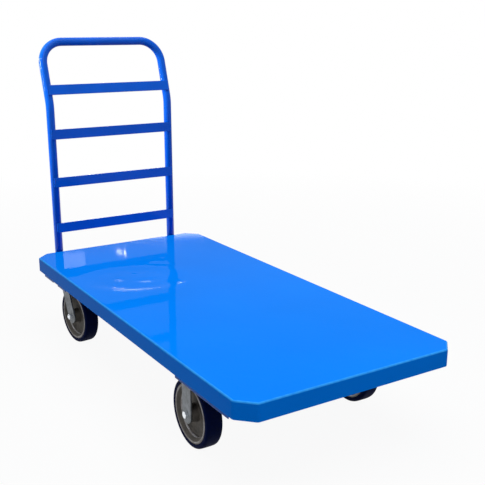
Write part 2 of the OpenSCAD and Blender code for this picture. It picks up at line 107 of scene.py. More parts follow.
def relief(tree, height, depth, strength, under=None):
    bump = tree.nodes.new("ShaderNodeBump")
    bump.inputs["Distance"].default_value = depth
    bump.inputs["Strength"].default_value = strength
    tree.links.new(height, bump.inputs["Height"])
    if under is not None:
        tree.links.new(under, bump.inputs["Normal"])
    return bump.outputs["Normal"]


def parts(tree, point):
    node = tree.nodes.new("ShaderNodeSeparateXYZ")
    tree.links.new(point, node.inputs[0])
    return node.outputs


# bands are the part of a noise that counts, from none to all of its effect
enamelWearAndHighlight = {"streakStretch": (1, 0.05, 0.3), "streakBand": (0.52, 0.72), "cloudBand": (0.3, 0.7),
              "dustScale": 60, "highlightBand": (0.3, 0.6), "leastHighlight": 0.5, "roughBand": (0.4, 0.8),
              "peelStrength": 0.5}


# gloss enamel: slight clouding, orange peel, faint lighter streaks, and a painted highlight along the folds
def enamel(name, colour, gloss):
    mat, tree, shader = newFinish(name)
    wear = enamelWearAndHighlight
    point = surfacePoint(tree)
    streakPlace = surfacePoint(tree, turn=(0, 0, radians(gloss["streakTurn"])), stretch=wear["streakStretch"])
    cloud = mottle(tree, point, gloss["cloudScale"], 2)
    streak = mottle(tree, streakPlace, gloss["streakScale"], 3)
    dusty = mottle(tree, point, wear["dustScale"], 4, 0.6)
    shade = tuple(c * gloss["shade"] for c in colour)
    light = tuple(min(1, c * gloss["light"]) for c in colour)
    base = tinted(tree, rescaled(tree, cloud, *wear["cloudBand"], 0, 1), shade, light)
    # faint lighter streaks along one direction, which are also a little rougher
    veil = tinted(tree, rescaled(tree, streak, *wear["streakBand"], 0, gloss["veil"]), base, gloss["veilTint"])
    # the marked fold vertices get a lighter tint: a painted highlight, broken up by noise
    foldHighlightMark = tree.nodes.new("ShaderNodeAttribute")
    foldHighlightMark.attribute_name = "paintedFoldHighlight"
    foldHighlightShare = combined(tree, "MULTIPLY", foldHighlightMark.outputs["Fac"],
                    rescaled(tree, dusty, *wear["highlightBand"], wear["leastHighlight"], 1))
    tree.links.new(tinted(tree, foldHighlightShare, veil, gloss["foldHighlightTint"]), shader["Base Color"])
    worn = combined(tree, "ADD", rescaled(tree, streak, *wear["roughBand"], 0, gloss["roughSpread"]),
                    rescaled(tree, dusty, *wear["roughBand"], gloss["rough"],
                             gloss["rough"] + gloss["roughSpread"]))
    tree.links.new(worn, shader["Roughness"])
    shader["Specular IOR Level"].default_value = gloss["shine"]
    waves = relief(tree, mottle(tree, point, gloss["waveScale"], 1), gloss["waveDepth"], 1)
    peel = relief(tree, mottle(tree, point, gloss["peelScale"], 2), gloss["peelDepth"], wear["peelStrength"],
                  waves)
    tree.links.new(peel, shader["Normal"])
    return mat


platedWear = {"patchBand": (0.35, 0.68), "dullBand": (0.3, 0.7), "marksTurn": (0.6, 0.4, 0.9),
              "marksStretch": (1, 0.06, 1), "marksScale": 500, "marksBand": (0.4, 0.8),
              "marksRough": (-0.04, 0.08), "grainStrength": 0.4}


# plated steel: spangle, dull patches, fine handling marks
def plated(name, colour, second, plate):
    mat, tree, shader = newFinish(name)
    wear = platedWear
    point = surfacePoint(tree)
    patch = mottle(tree, point, plate["patchScale"], 4, 0.65)
    grain = mottle(tree, point, plate["grainScale"], 3, 0.6)
    along = surfacePoint(tree, turn=wear["marksTurn"], stretch=wear["marksStretch"])
    marks = mottle(tree, along, wear["marksScale"], 2)
    tree.links.new(tinted(tree, rescaled(tree, patch, *wear["patchBand"], 0, 1), colour, second),
                   shader["Base Color"])
    dull = rescaled(tree, patch, *wear["dullBand"], plate["rough"], plate["rough"] + plate["spread"])
    dull = combined(tree, "ADD", dull, rescaled(tree, marks, *wear["marksBand"], *wear["marksRough"]))
    tree.links.new(dull, shader["Roughness"])
    shader["Metallic"].default_value = plate["metal"]
    tree.links.new(relief(tree, grain, plate["grainDepth"], wear["grainStrength"]), shader["Normal"])
    return mat


paintLook = {
    "deckBlue": (0.0004, 0.222, 0.93),
    "handleBlue": (0.002, 0.105, 0.62),
    "frameBlue": (0.001, 0.13, 0.6),
    "deck": {"shade": 0.96, "light": 1.04, "cloudScale": 2.2, "streakTurn": 38, "streakScale": 5, "veil": 0.05,
             "veilTint": (0.01, 0.3, 0.95), "foldHighlightTint": (0.04, 0.38, 0.98), "rough": 0.03,
             "roughSpread": 0.02, "shine": 0.006, "waveScale": 5, "waveDepth": 0.00003, "peelScale": 700,
             "peelDepth": 0.000003},
    "handle": {"shade": 0.9, "light": 1.05, "cloudScale": 8, "streakTurn": 90, "streakScale": 20, "veil": 0.06,
               "veilTint": (0.01, 0.2, 0.8), "foldHighlightTint": (0.02, 0.25, 0.9), "rough": 0.05,
               "roughSpread": 0.02, "shine": 0.08, "waveScale": 30, "waveDepth": 0.0001, "peelScale": 700,
               "peelDepth": 0.00001},
}
deckBlue = enamel("deckBlue", paintLook["deckBlue"], paintLook["deck"])
handleBlue = enamel("handleBlue", paintLook["handleBlue"], paintLook["handle"])
frameBlue = enamel("frameBlue", paintLook["frameBlue"], paintLook["handle"])

plateLook = {
    "fork": {"shade": (0.1, 0.108, 0.112), "light": (0.28, 0.3, 0.325), "patchScale": 35, "grainScale": 900,
             "rough": 0.38, "spread": 0.2, "metal": 0.75, "grainDepth": 0.0001},
    "bolt": {"shade": (0.84, 0.88, 0.93), "light": (0.94, 0.96, 0.98), "patchScale": 60, "grainScale": 1500,
             "rough": 0.2, "spread": 0.16, "metal": 1.0, "grainDepth": 0.00004},
    "roller": {"shade": (0.5, 0.5, 0.5), "light": (0.66, 0.66, 0.67), "patchScale": 90, "grainScale": 2500,
               "rough": 0.12, "spread": 0.1, "metal": 1.0, "grainDepth": 0.00002},
}
forkZinc, boltZinc, rollerSteel = (
    plated(name, plateLook[kind]["shade"], plateLook[kind]["light"], plateLook[kind])
    for name, kind in (("forkZinc", "fork"), ("boltZinc", "bolt"), ("rollerSteel", "roller")))


# cast wheel core: sand texture in the dish, the lip ring and a thin ring at the shoulder's edge painted light
# as highlights on turned metal, and a rusty bloom on the rim's face
def castCore(name, centre, yaw, look):
    mat, tree, shader = newFinish(name)
    point = surfacePoint(tree, centre, (0, 0, yaw))
    x, y, z = parts(tree, point)
    radius = combined(tree, "SQRT", combined(tree, "ADD", combined(tree, "MULTIPLY", x, x),
                                            combined(tree, "MULTIPLY", z, z)), 0)
    lip = rescaled(tree, radius, look["lipRadius"] - look["lipBlur"], look["lipRadius"] + look["lipBlur"], 0,
                   look["lipShine"])
    rim = rescaled(tree, radius, look["lipOuter"], look["lipOuter"] + look["lipFade"], 1, look["rimShare"])
    offEdge = combined(tree, "ABSOLUTE", combined(tree, "SUBTRACT", radius, look["edgeRadius"]), 0)
    # the lip and the shoulder's edge take the lighter face colour: painted highlights, with the roughness,
    # sheen and tool marks of turned metal
    turned = combined(tree, "MAXIMUM", combined(tree, "MULTIPLY", lip, rim),
                      rescaled(tree, offEdge, *look["edgeHighlight"], 1, 0))
    sand = mottle(tree, point, look["sandScale"], 4, 0.6)
    bloom = mottle(tree, point, look["bloomScale"], 4, 0.6)
    dish = tinted(tree, rescaled(tree, bloom, *look["dishBand"], 0, 1), look["dish"], look["dishDust"])
    face = tinted(tree, rescaled(tree, bloom, *look["faceBand"], 0, 1), look["face"], look["faceBloom"])
    tree.links.new(tinted(tree, turned, dish, face), shader["Base Color"])
    tree.links.new(rescaled(tree, turned, 0, 1, look["dishRough"], look["faceRough"]), shader["Roughness"])
    tree.links.new(rescaled(tree, turned, 0, 1, *look["metal"]), shader["Metallic"])
    groove = combined(tree, "SINE", combined(tree, "MULTIPLY", radius, look["toolPitch"]), 0)
    cut = relief(tree, combined(tree, "MULTIPLY", groove, turned), look["toolDepth"], look["toolStrength"])
    tree.links.new(relief(tree, sand, look["sandDepth"], look["sandStrength"], cut), shader["Normal"])
    return mat


# dark moulded tread, its colour tinted blue as a painted reflection: dusty where it rolls, small scuffs and
# nicks
def treadRubber(name, centre, yaw, look):
    mat, tree, shader = newFinish(name)
    point = surfacePoint(tree, centre, (0, 0, yaw))
    x, y, z = parts(tree, point)
    across = combined(tree, "ABSOLUTE", y, 0)
    rollFrom, rollTo = (look["halfWidth"] - inset for inset in look["rollInset"])
    rolling = rescaled(tree, across, rollFrom, rollTo, 1, 0)
    scuff = mottle(tree, point, look["scuffScale"], 5, 0.7)
    nick = mottle(tree, point, look["nickScale"], 3, 0.6)
    dust = combined(tree, "MULTIPLY", rescaled(tree, scuff, *look["dustBand"], *look["dustShare"]), rolling)
    # the rubber colour, and the dust's bluish cast, carry a painted blue reflection
    tree.links.new(tinted(tree, dust, look["rubberWithBlueReflection"], look["dust"]), shader["Base Color"])
    tree.links.new(rescaled(tree, scuff, *look["roughBand"], look["rough"], look["rough"] + look["spread"]),
                   shader["Roughness"])
    shader["Specular IOR Level"].default_value = look["shine"]
    lumps = relief(tree, scuff, *look["scuffRelief"])
    tree.links.new(relief(tree, nick, *look["nickRelief"], lumps), shader["Normal"])
    return mat


# shaping helpers, lengths in metres and angles in degrees
near = {"seam": 0.000002, "solidSeam": 0.00001, "flat": 0.5, "cut": 0.000001, "level": 0.00001}


def boxOf(node):
    low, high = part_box(node)
    return Vector(low), Vector(high)


def middle(node):
    low, high = boxOf(node)
    return (low + high) / 2


def settled(bm, name, body, mat, replaced=(), sharp=32):
    bmesh.ops.remove_doubles(bm, verts=bm.verts, dist=near["seam"])
    bmesh.ops.recalc_face_normals(bm, faces=bm.faces)
    mesh = bpy.data.meshes.new(name)
    bm.to_mesh(mesh)
    bm.free()
    for face in mesh.polygons:
        face.use_smooth = True
    mesh.set_sharp_from_angle(angle=radians(sharp))
    mesh.materials.append(mat)
    piece = bpy.data.objects.new(name, mesh)
    bpy.context.scene.collection.objects.link(piece)
    if replaced:
        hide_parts(*replaced)
    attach(piece, body)
    return piece


def evenShading(piece):
    shading = piece.modifiers.new("evenShading", "WEIGHTED_NORMAL")
    shading.keep_sharp = True
    shading.weight = 80


def rounded(bm, geom, offset, steps, affect="EDGES", clamp=False):
    bmesh.ops.bevel(bm, geom=geom, affect=affect, offset=offset, offset_type="OFFSET", segments=steps,
                    profile=0.5, material=-1, clamp_overlap=clamp)


def crispEdges(bm, least):
    return [e for e in bm.edges if len(e.link_faces) == 2 and e.calc_face_angle(0) > radians(least)]


def solidCopy(nodes):
    bm = bmesh.new()
    for node in nodes:
        bm.from_mesh(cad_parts[node].data)
    bmesh.ops.remove_doubles(bm, verts=bm.verts, dist=near["solidSeam"])
    bmesh.ops.dissolve_limit(bm, angle_limit=radians(near["flat"]), verts=bm.verts, edges=bm.edges)
    return bm


# a copy of plain solids with their broken edges rounded over
def eased(nodes, radius, steps=2, least=30):
    bm = solidCopy(nodes)
    rounded(bm, crispEdges(bm, least), radius, steps, clamp=True)
    return bm


def block(bm, low, high):
    made = bmesh.ops.create_cube(bm, size=1)["verts"]
    bmesh.ops.scale(bm, vec=high - low, verts=made)
    bmesh.ops.translate(bm, vec=(low + high) / 2, verts=made)


def edgesWithin(verts):
    kept = set(verts)
    return [e for e in {e for v in verts for e in v.link_edges} if kept.issuperset(e.verts)]


view = {"spot": (2.2233, -1.2427, 1.1304), "azimuth": 58.92, "down": 15.69, "roll": -0.26,
        "lens": 58.53, "sensor": 36, "shift": (0.0311, 0.0195), "farthest": 200}
camera = bpy.data.objects.new("viewCamera", bpy.data.cameras.new("viewCamera"))
bpy.context.scene.collection.objects.link(camera)
camera.matrix_world = (Matrix.Translation(view["spot"]) @ Matrix.Rotation(radians(view["azimuth"]), 4, "Z")
                       @ Matrix.Rotation(radians(90 - view["down"]), 4, "X")
                       @ Matrix.Rotation(radians(view["roll"]), 4, "Z"))
camera.data.lens = view["lens"]
camera.data.sensor_width = view["sensor"]
camera.data.shift_x, camera.data.shift_y = view["shift"]
camera.data.clip_end = view["farthest"]
bpy.context.scene.camera = camera
print("camera set")

# the deck's sheet; a dent is its middle, half length, half width, turn, share that is flat, depth
deckSheet = {"cornerCut": 0.045, "sheet": 0.003, "innerCut": 0.586, "fold": 0.0052, "foldSteps": 5,
             "foldSlope": (0.2, 0.98), "grid": 0.005,
             "worn": ((-0.450, -0.345), (-0.040, 0.085)),
             "dents": (((-0.230, -0.150), 0.205, 0.160, 58, 0.58, 0.0018),
                       ((-0.252, -0.195), 0.035, 0.028, 20, 0, 0.0008),
                       ((-0.303, -0.115), 0.045, 0.036, 0, 0, 0.0009),
                       ((-0.195, -0.120), 0.070, 0.036, 65, 0, 0.0009),
                       ((-0.345, 0.010), 0.060, 0.040, 50, 0, 0.0012),
                       ((-0.123, -0.036), 0.045, 0.036, 58, 0, 0.0009),
                       ((-0.400, 0.045), 0.035, 0.030, 0, 0, 0.0008))}
panLow, panHigh = boxOf("deck_pan")
deckTop = panHigh.z


# one face of the folded sheet, open below; its lower edges are returned
def foldedShell(bm, low, high, cut, fold, steps):
    shell = bmesh.new()
    block(shell, low, high)
    upright = [e for e in shell.edges if abs(e.verts[0].co.z - e.verts[1].co.z) > fold]
    rounded(shell, upright, cut, 1)
    shell.normal_update()
    bottom = [f for f in shell.faces if f.normal.z < -0.9]
    bmesh.ops.delete(shell, geom=bottom, context="FACES")
    rounded(shell, [e for e in shell.edges if len(e.link_faces) == 2], fold, steps)
    known = set(bm.edges)
    sheet = bpy.data.meshes.new("foldedShell")
    shell.to_mesh(sheet)
    shell.free()
    bm.from_mesh(sheet)
    bpy.data.meshes.remove(sheet)
    return [e for e in bm.edges if e not in known and len(e.link_faces) == 1]


# the cut edge of the sheet, between the outer and the inner face of the skirt
def rimClosed(bm, outerRim, innerRim):
    loops = [sorted({v for e in rim for v in e.verts}, key=lambda v: atan2(v.co.y, v.co.x))
             for rim in (outerRim, innerRim)]
    pairs = list(zip(*loops))
    for (a, b), (c, d) in zip(pairs, pairs[1:] + pairs[:1]):
        bm.faces.new((a, c, d, b))


def dented(point, dents):
    drop = 0
    for (x, y), halfLong, halfWide, turn, flat, depth in dents:
        along, aside, height = Matrix.Rotation(-radians(turn), 3, "Z") @ Vector((point.x - x, point.y - y, 0))
        away = (Vector((along / halfLong, aside / halfWide)).length - flat) / (1 - flat)
        drop += depth * (0.5 + 0.5 * cos(pi * min(1, max(0, away))))
    return drop


def level(point):
    return min(abs(point.z - deckTop), abs(point.z - deckTop + deckSheet["sheet"])) < near["level"]


def inWorn(point):
    (x0, y0), (x1, y1) = deckSheet["worn"]
    return x0 < point.x < x1 and y0 < point.y < y1


thick = deckSheet["sheet"]
bm = bmesh.new()
outerRim = foldedShell(bm, panLow, panHigh, deckSheet["cornerCut"], deckSheet["fold"], deckSheet["foldSteps"])
innerRim = foldedShell(bm, panLow + Vector((thick, thick, 0)), panHigh - Vector((thick, thick, thick)),
                       deckSheet["cornerCut"] - thick * deckSheet["innerCut"], deckSheet["fold"] - thick,
                       deckSheet["foldSteps"])
rimClosed(bm, outerRim, innerRim)
# vertices along the top folds are marked to carry the painted fold highlight
foldHighlightMark = bm.verts.layers.float.new("paintedFoldHighlight")
for v in bm.verts:
    slant = [abs(f.normal.z) for f in v.link_faces]
    least, most = deckSheet["foldSlope"]
    v[foldHighlightMark] = v.co.z > deckTop - deckSheet["fold"] and least < sum(slant) / len(slant) < most
cuts = []
for axis in range(2):
    first, last = (corner[axis] for corner in deckSheet["worn"])
    count = round((last - first) / deckSheet["grid"])
    cuts += [(step not in (0, count), axis, first + step * deckSheet["grid"]) for step in range(count + 1)]
for local, axis, at in sorted(cuts):  # the four borders come first
    top = [f for f in bm.faces if level(f.calc_center_median())
           and (not local or inWorn(f.calc_center_median()))]
    geom = list({v for f in top for v in f.verts} | {e for f in top for e in f.edges}) + top
    across = Vector((axis == 0, axis == 1, 0))
    bmesh.ops.bisect_plane(bm, geom=geom, plane_co=across * at, plane_no=across, dist=near["cut"])
for v in bm.verts:
    if level(v.co):
        v.co.z -= dented(v.co, deckSheet["dents"])
deckPan = settled(bm, "deckPan", "deck", deckBlue, ("deck_pan",), 60)
evenShading(deckPan)
print("deck folded:", len(deckPan.data.polygons), "faces")

underframe = {"edge": 0.0012, "bend": 2, "tack": 0.0035, "tackDrop": 0.0036, "tackPitch": 0.0036,
              "tackHalf": 0.012, "tackEvery": (0.19, 0.14)}
for name, nodes in (("cradleFront", ("front_cradle",)), ("cradleRear", ("rear_cradle",)),
                    ("ribLeft", ("rib_left",)), ("ribRight", ("rib_right",)),
                    ("channelHandleEnd", ("end_channel",)), ("channelNose", ("nose_channel",)),
                    ("sidePlatesFront", ("front_side_plates",)), ("sidePlatesRear", ("rear_side_plates",))):
    evenShading(settled(eased(nodes, underframe["edge"], underframe["bend"]), name, "deck", frameBlue, nodes))
print("underframe dressed")

# the handle's tube: up, a bend, the lean, the hoop and down again
tubeLook = {"wall": 0.0021, "sides": 40, "lean": 17.2, "bend": 0.150, "bendUp": 0.5735, "run": 0.2416,
            "corner": 0.085, "bendSteps": 10, "cornerSteps": 24, "rungEdge": 0.0009, "rungSteps": 3}
rungs = (1, 2, 3, 4)
sideLow, sideHigh = boxOf("socket_left")
postX = (sideLow.x + sideHigh.x) / 2
postY = (sideLow.y + sideHigh.y) / 2
tubeLow, tubeHigh = boxOf("handle_tube")
tubeRadius = tubeHigh.x - postX
lean = radians(tubeLook["lean"])
leaning = Vector((-sin(lean), 0, cos(lean)))
hoopAxis = Vector((cos(lean), 0, sin(lean)))


def loopOn(bm, geom, move):
    edges = [g for g in geom if isinstance(g, bmesh.types.BMEdge)]
    moved = bmesh.ops.extrude_edge_only(bm, edges=edges)["geom"]
    verts = [g for g in moved if isinstance(g, bmesh.types.BMVert)]
    bmesh.ops.translate(bm, vec=move, verts=verts)
    return verts + edgesWithin(verts)


def bentOn(bm, geom, centre, axis, angle, steps):
    return bmesh.ops.spin(bm, geom=geom, cent=centre, axis=axis, angle=angle, steps=steps,
                          use_merge=False, use_duplicate=False)["geom_last"]


bm = bmesh.new()
ring = bmesh.ops.create_circle(bm, segments=tubeLook["sides"], radius=tubeRadius, cap_ends=False)["verts"]
bmesh.ops.translate(bm, vec=(postX, postY, tubeLow.z), verts=ring)
bendReach = tubeLook["bend"] * tan(lean / 2)
bendStart = deckTop + tubeLook["bendUp"] - bendReach
straight = tubeLook["run"] - tubeLook["corner"] - bendReach
hinge = Vector((postX - tubeLook["bend"], 0, bendStart))
cornerFoot = Vector((postX, 0, deckTop + tubeLook["bendUp"]))
cornerFoot += leaning * (tubeLook["run"] - tubeLook["corner"])
cornerY = postY - tubeLook["corner"]
geom = loopOn(bm, ring + edgesWithin(ring), (0, 0, bendStart - tubeLow.z))
geom = bentOn(bm, geom, hinge, (0, -1, 0), lean, tubeLook["bendSteps"])
geom = loopOn(bm, geom, leaning * straight)
geom = bentOn(bm, geom, cornerFoot + Vector((0, cornerY, 0)), hoopAxis, pi / 2, tubeLook["cornerSteps"])
geom = loopOn(bm, geom, (0, -2 * cornerY, 0))
geom = bentOn(bm, geom, cornerFoot - Vector((0, cornerY, 0)), hoopAxis, pi / 2, tubeLook["cornerSteps"])
geom = loopOn(bm, geom, -leaning * straight)
geom = bentOn(bm, geom, hinge, (0, 1, 0), lean, tubeLook["bendSteps"])
loopOn(bm, geom, (0, 0, tubeLow.z - bendStart))
handleTube = settled(bm, "handleTube", "handle", handleBlue, ("handle_tube",), 40)
wall = handleTube.modifiers.new("tubeWall", "SOLIDIFY")
wall.thickness = tubeLook["wall"]
wall.offset = -1
print("handle bent")

for number in rungs:
    node = "rung_%d" % number
    bar = eased((node,), tubeLook["rungEdge"], tubeLook["rungSteps"])
    evenShading(settled(bar, "rung%d" % number, "handle", handleBlue, (node,)))

beadLook = {"pitch": 0.0032, "sides": 8, "rings": 6, "long": 0.75, "waves": ((0.1, 2.4, 0), (0.06, 5.1, 1))}


# a weld is a string of small overlapping beads
def weldBead(bm, start, end, radius, pitch=beadLook["pitch"]):
    run = Vector(end) - Vector(start)
    count = max(2, int(run.length / pitch))
    aim = run.to_track_quat("Z", "Y").to_matrix().to_4x4()
    for step in range(count + 1):
        swell = radius * (1 + sum(high * sin(rate * step + shift) for high, rate, shift in beadLook["waves"]))
        at = Vector(start) + run * (step / count)
        size = Matrix.Diagonal((swell, swell, beadLook["long"] * swell, 1))
        bmesh.ops.create_uvsphere(bm, u_segments=beadLook["sides"], v_segments=beadLook["rings"], radius=1,
                                  matrix=Matrix.Translation(at) @ aim @ size)


rungWeld = {"radius": 0.0028, "half": 0.01505, "toBack": 0.0032, "inFromPost": 0.0078, "postBack": 0.0018,
            "inFromEnd": 0.0002, "endBack": 0.0006}
bm = bmesh.new()
for number in rungs:
    low, high = boxOf("rung_%d" % number)
    tilt = lean if number == rungs[-1] else 0
    up = Vector((-sin(tilt), 0, cos(tilt))) * rungWeld["half"]
    out = Vector((cos(tilt), 0, sin(tilt)))
    heart = (low + high) / 2 - out * rungWeld["toBack"]
    for side in (1, -1):
        for y, back in ((postY - rungWeld["inFromPost"], rungWeld["postBack"]),
                        (high.y - rungWeld["inFromEnd"], rungWeld["endBack"])):
            spot = Vector((heart.x, side * y, heart.z)) - out * back
            weldBead(bm, spot - up, spot + up, rungWeld["radius"])
rungWelds = settled(bm, "rungWelds", "handle", handleBlue, (), 60)

socketLook = {"edge": 0.0008, "least": 50, "weld": 0.0034, "weldAside": 0.0088, "weldOut": 0.0014,
              "weldInset": 0.004}
for name, node in (("socketLeft", "socket_left"), ("socketRight", "socket_right"),
                   ("socketStops", "socket_stops")):
    settled(eased((node,), socketLook["edge"], 2, socketLook["least"]), name, "deck", deckBlue, (node,))
bm = bmesh.new()
for side in (1, -1):
    for aside in (-socketLook["weldAside"], socketLook["weldAside"]):
        x = panLow.x - socketLook["weldOut"]
        y = side * postY + aside
        weldBead(bm, (x, y, panLow.z + socketLook["weldInset"]), (x, y, sideHigh.z - socketLook["weldInset"]),
                 socketLook["weld"])
# tacks that hold the cradles and ribs to the deck
for node in ("front_cradle", "rear_cradle", "rib_left", "rib_right"):
    low, high = boxOf(node)
    axis = 0 if node.startswith("rib") else 1
    length = high[axis] - low[axis]
    count = int(length / underframe["tackEvery"][axis])
    run = Vector((axis == 0, axis == 1, 0)) * underframe["tackHalf"]
    for step in range(count):
        for edge in (low, high):
            at = Vector((edge.x, edge.y, high.z - underframe["tackDrop"]))
            at[axis] = low[axis] + (step + 0.5) * length / count
            weldBead(bm, at - run, at + run, underframe["tack"], underframe["tackPitch"])
settled(bm, "deckWelds", "deck", frameBlue, (), 60)
print("welds laid")

# hexagon heads, nuts and threads; shares are of the flats, the bore or the shank's radius
hexLook = {"sides": 36, "chamfer": 0.475, "seat": 0.47, "seatLift": 0.0004, "slope": 0.5, "crown": 0.9,
           "crownDrop": 0.0003, "flare": 1.12, "flareDeep": 0.001, "root": 0.91, "rootAt": 0.4,
           "crestAt": 0.85, "point": 0.97, "tip": 0.82, "pointLong": 0.001}


def hexRing(bm, radius, z, flats=0, chamfer=0.0, down=1):
    ring = bmesh.ops.create_circle(bm, segments=hexLook["sides"], radius=radius, cap_ends=False)["verts"]
    for v in ring:
        v.co.z = z
        if flats:
            sector = atan2(v.co.y, v.co.x) % (pi / 3) - pi / 6
            reach = flats / 2 / cos(sector)
            v.co.x *= reach / radius
            v.co.y *= reach / radius
            v.co.z = z - down * (reach - chamfer) * hexLook["slope"]
    return ring


def stacked(bm, rings, place, closed=True):
    for first, second in zip(rings, rings[1:]) if closed else zip(rings, rings[1:] + rings[:1]):
        bmesh.ops.bridge_loops(bm, edges=edgesWithin(first) + edgesWithin(second))
    if closed:
        for ring in (rings[0], rings[-1]):
            bmesh.ops.contextual_create(bm, geom=edgesWithin(ring))
    bmesh.ops.transform(bm, matrix=place, verts=[v for ring in rings for v in ring])


# seat at z 0, top at height, chamfered like a turned blank
def hexHead(bm, place, flats, height):
    chamfer = flats * hexLook["chamfer"]
    stacked(bm, [hexRing(bm, flats * hexLook["seat"], 0),
                 hexRing(bm, flats / 2, hexLook["seatLift"], flats, flats / 2, 0),
                 hexRing(bm, flats / 2, height, flats, chamfer), hexRing(bm, chamfer, height),
                 hexRing(bm, chamfer * hexLook["crown"], height - hexLook["crownDrop"])], place)


def hexNut(bm, place, flats, height, bore):
    chamfer = flats * hexLook["chamfer"]
    flare = bore * hexLook["flare"]
    stacked(bm, [hexRing(bm, bore, hexLook["flareDeep"]), hexRing(bm, flare, 0), hexRing(bm, chamfer, 0),
                 hexRing(bm, flats / 2, 0, flats, chamfer, -1),
                 hexRing(bm, flats / 2, height, flats, chamfer), hexRing(bm, chamfer, height),
                 hexRing(bm, flare, height), hexRing(bm, bore, height - hexLook["flareDeep"])], place, False)


# plain shank from z 0, then thread crests to the given height and a chamfered point
def boltShank(bm, place, radius, plain, height, pitch):
    rings = [hexRing(bm, radius, 0), hexRing(bm, radius, plain)]
    z = plain
    while z + pitch < height - hexLook["pointLong"]:
        rings.append(hexRing(bm, radius * hexLook["root"], z + pitch * hexLook["rootAt"]))
        rings.append(hexRing(bm, radius, z + pitch * hexLook["crestAt"]))
        z += pitch
    rings += [hexRing(bm, radius * hexLook["point"], height - hexLook["pointLong"]),
              hexRing(bm, radius * hexLook["tip"], height)]
    stacked(bm, rings, place)


plateBolt = {"flats": 0.0143, "head": 0.006, "nut": 0.008, "radius": 0.00475, "pitch": 0.0016, "plain": 0.009,
             "play": 0.00005, "alongX": 0.046, "alongY": 0.034, "twist": 0.35}
for end, fork in (("front", "rigid"), ("rear", "swivel")):
    heads, nuts = bmesh.new(), bmesh.new()
    boltLow, boltHigh = boxOf(end + "_plate_bolts")
    nutLow, nutHigh = boxOf(end + "_plate_nuts")
    seat = boltLow.z + plateBolt["head"]
    for side in ("left", "right"):
        heart = middle("%s_plate_%s" % (fork, side))
        for turn, (dx, dy) in enumerate(((1, 1), (1, -1), (-1, 1), (-1, -1))):
            x = heart.x + dx * plateBolt["alongX"]
            y = heart.y + dy * plateBolt["alongY"]
            twist = Matrix.Rotation(plateBolt["twist"] * turn, 4, "Z")
            shank = Matrix.Translation((x, y, seat))
            hexHead(heads, shank @ Matrix.Rotation(pi, 4, "X") @ twist, plateBolt["flats"], plateBolt["head"])
            boltShank(heads, shank, plateBolt["radius"], plateBolt["plain"], boltHigh.z - seat,
                      plateBolt["pitch"])
            hexNut(nuts, Matrix.Translation((x, y, nutLow.z)) @ twist, plateBolt["flats"], plateBolt["nut"],
                   plateBolt["radius"] + plateBolt["play"])
    settled(heads, end + "PlateBolts", "deck", boltZinc, (end + "_plate_bolts",), 25)
    settled(nuts, end + "PlateNuts", "deck", boltZinc, (end + "_plate_nuts",), 25)
print("plate bolts and nuts made")

axle = {"flats": 0.01905, "head": 0.008, "nut": 0.011, "radius": 0.00635, "pitch": 0.0018,
        "threadShow": 0.003, "play": 0.00005, "headTurn": 0.2, "nutTurn": 0.5, "rearYaw": 6.4}
wheels = {}
for end, yaw in (("front", 0.0), ("rear", radians(axle["rearYaw"]))):
    for side in ("left", "right"):
        name = end + "_" + side
        wheels[name] = {"heart": middle(name + "_tread"), "yaw": yaw}
forkOut = boxOf("rigid_fork_left")[1].y - wheels["front_left"]["heart"].y


def wheelPlace(wheel):
    return Matrix.Translation(wheel["heart"]) @ Matrix.Rotation(wheel["yaw"], 4, "Z")


# a place on the axle, z outward on one side; it is the fork's outer face unless away says otherwise
def axlePlace(wheel, outward, away=forkOut):
    return wheelPlace(wheel) @ Matrix.Rotation(-outward * pi / 2, 4, "X") @ Matrix.Translation((0, 0, away))


def axleBolt(bm, wheel, headSide):
    hexHead(bm, axlePlace(wheel, headSide) @ Matrix.Rotation(axle["headTurn"], 4, "Z"), axle["flats"],
            axle["head"])
    boltShank(bm, axlePlace(wheel, -headSide, -forkOut), axle["radius"], 2 * forkOut,
              2 * forkOut + axle["nut"] + axle["threadShow"], axle["pitch"])


def axleNut(bm, wheel, side):
    hexNut(bm, axlePlace(wheel, side) @ Matrix.Rotation(axle["nutTurn"], 4, "Z"), axle["flats"], axle["nut"],
           axle["radius"] + axle["play"])


bolts, nuts = bmesh.new(), bmesh.new()
for side, name in ((1, "front_left"), (-1, "front_right")):
    axleBolt(bolts, wheels[name], side)
    axleNut(nuts, wheels[name], -side)
settled(bolts, "frontAxleBolts", "deck", boltZinc, ("front_axle_bolts",), 25)
settled(nuts, "frontAxleNuts", "deck", boltZinc, ("front_axle_nuts",), 25)
for side, word in ((1, "left"), (-1, "right")):
    bolts, nuts = bmesh.new(), bmesh.new()
    axleBolt(bolts, wheels["rear_" + word], -side)
    axleNut(nuts, wheels["rear_" + word], side)
    for bm, kind in ((bolts, "bolt"), (nuts, "nut")):
        settled(bm, "rearAxle" + kind.title() + word.title(), "swivel_" + word, boltZinc,
                ("rear_axle_%s_%s" % (kind, word),), 25)

forkLook = {"edge": 0.0007, "edgeSteps": 2, "edgeLeast": 40, "bend": 0.0042, "bendSteps": 4, "bendLeast": 30,
            "faceNear": 0.0002, "topNear": 0.0001, "plateEdge": 0.0008, "pinEdge": 0.0006}


# a pressed fork, with wide bends where the crown meets the legs
def pressedFork(node, wheel):
    bm = solidCopy((node,))
    top = max(v.co.z for v in bm.verts)
    unturn = Matrix.Rotation(-wheel["yaw"], 3, "Z")

    def onBend(v):
        off = abs((unturn @ (v.co - wheel["heart"])).y)
        return abs(off - forkOut) < forkLook["faceNear"] and v.co.z > top - forkLook["topNear"]

    wide = [e for e in crispEdges(bm, forkLook["bendLeast"]) if all(onBend(v) for v in e.verts)]
    rounded(bm, wide, forkLook["bend"], forkLook["bendSteps"])
    rounded(bm, crispEdges(bm, forkLook["edgeLeast"]), forkLook["edge"], forkLook["edgeSteps"], clamp=True)
    return bm


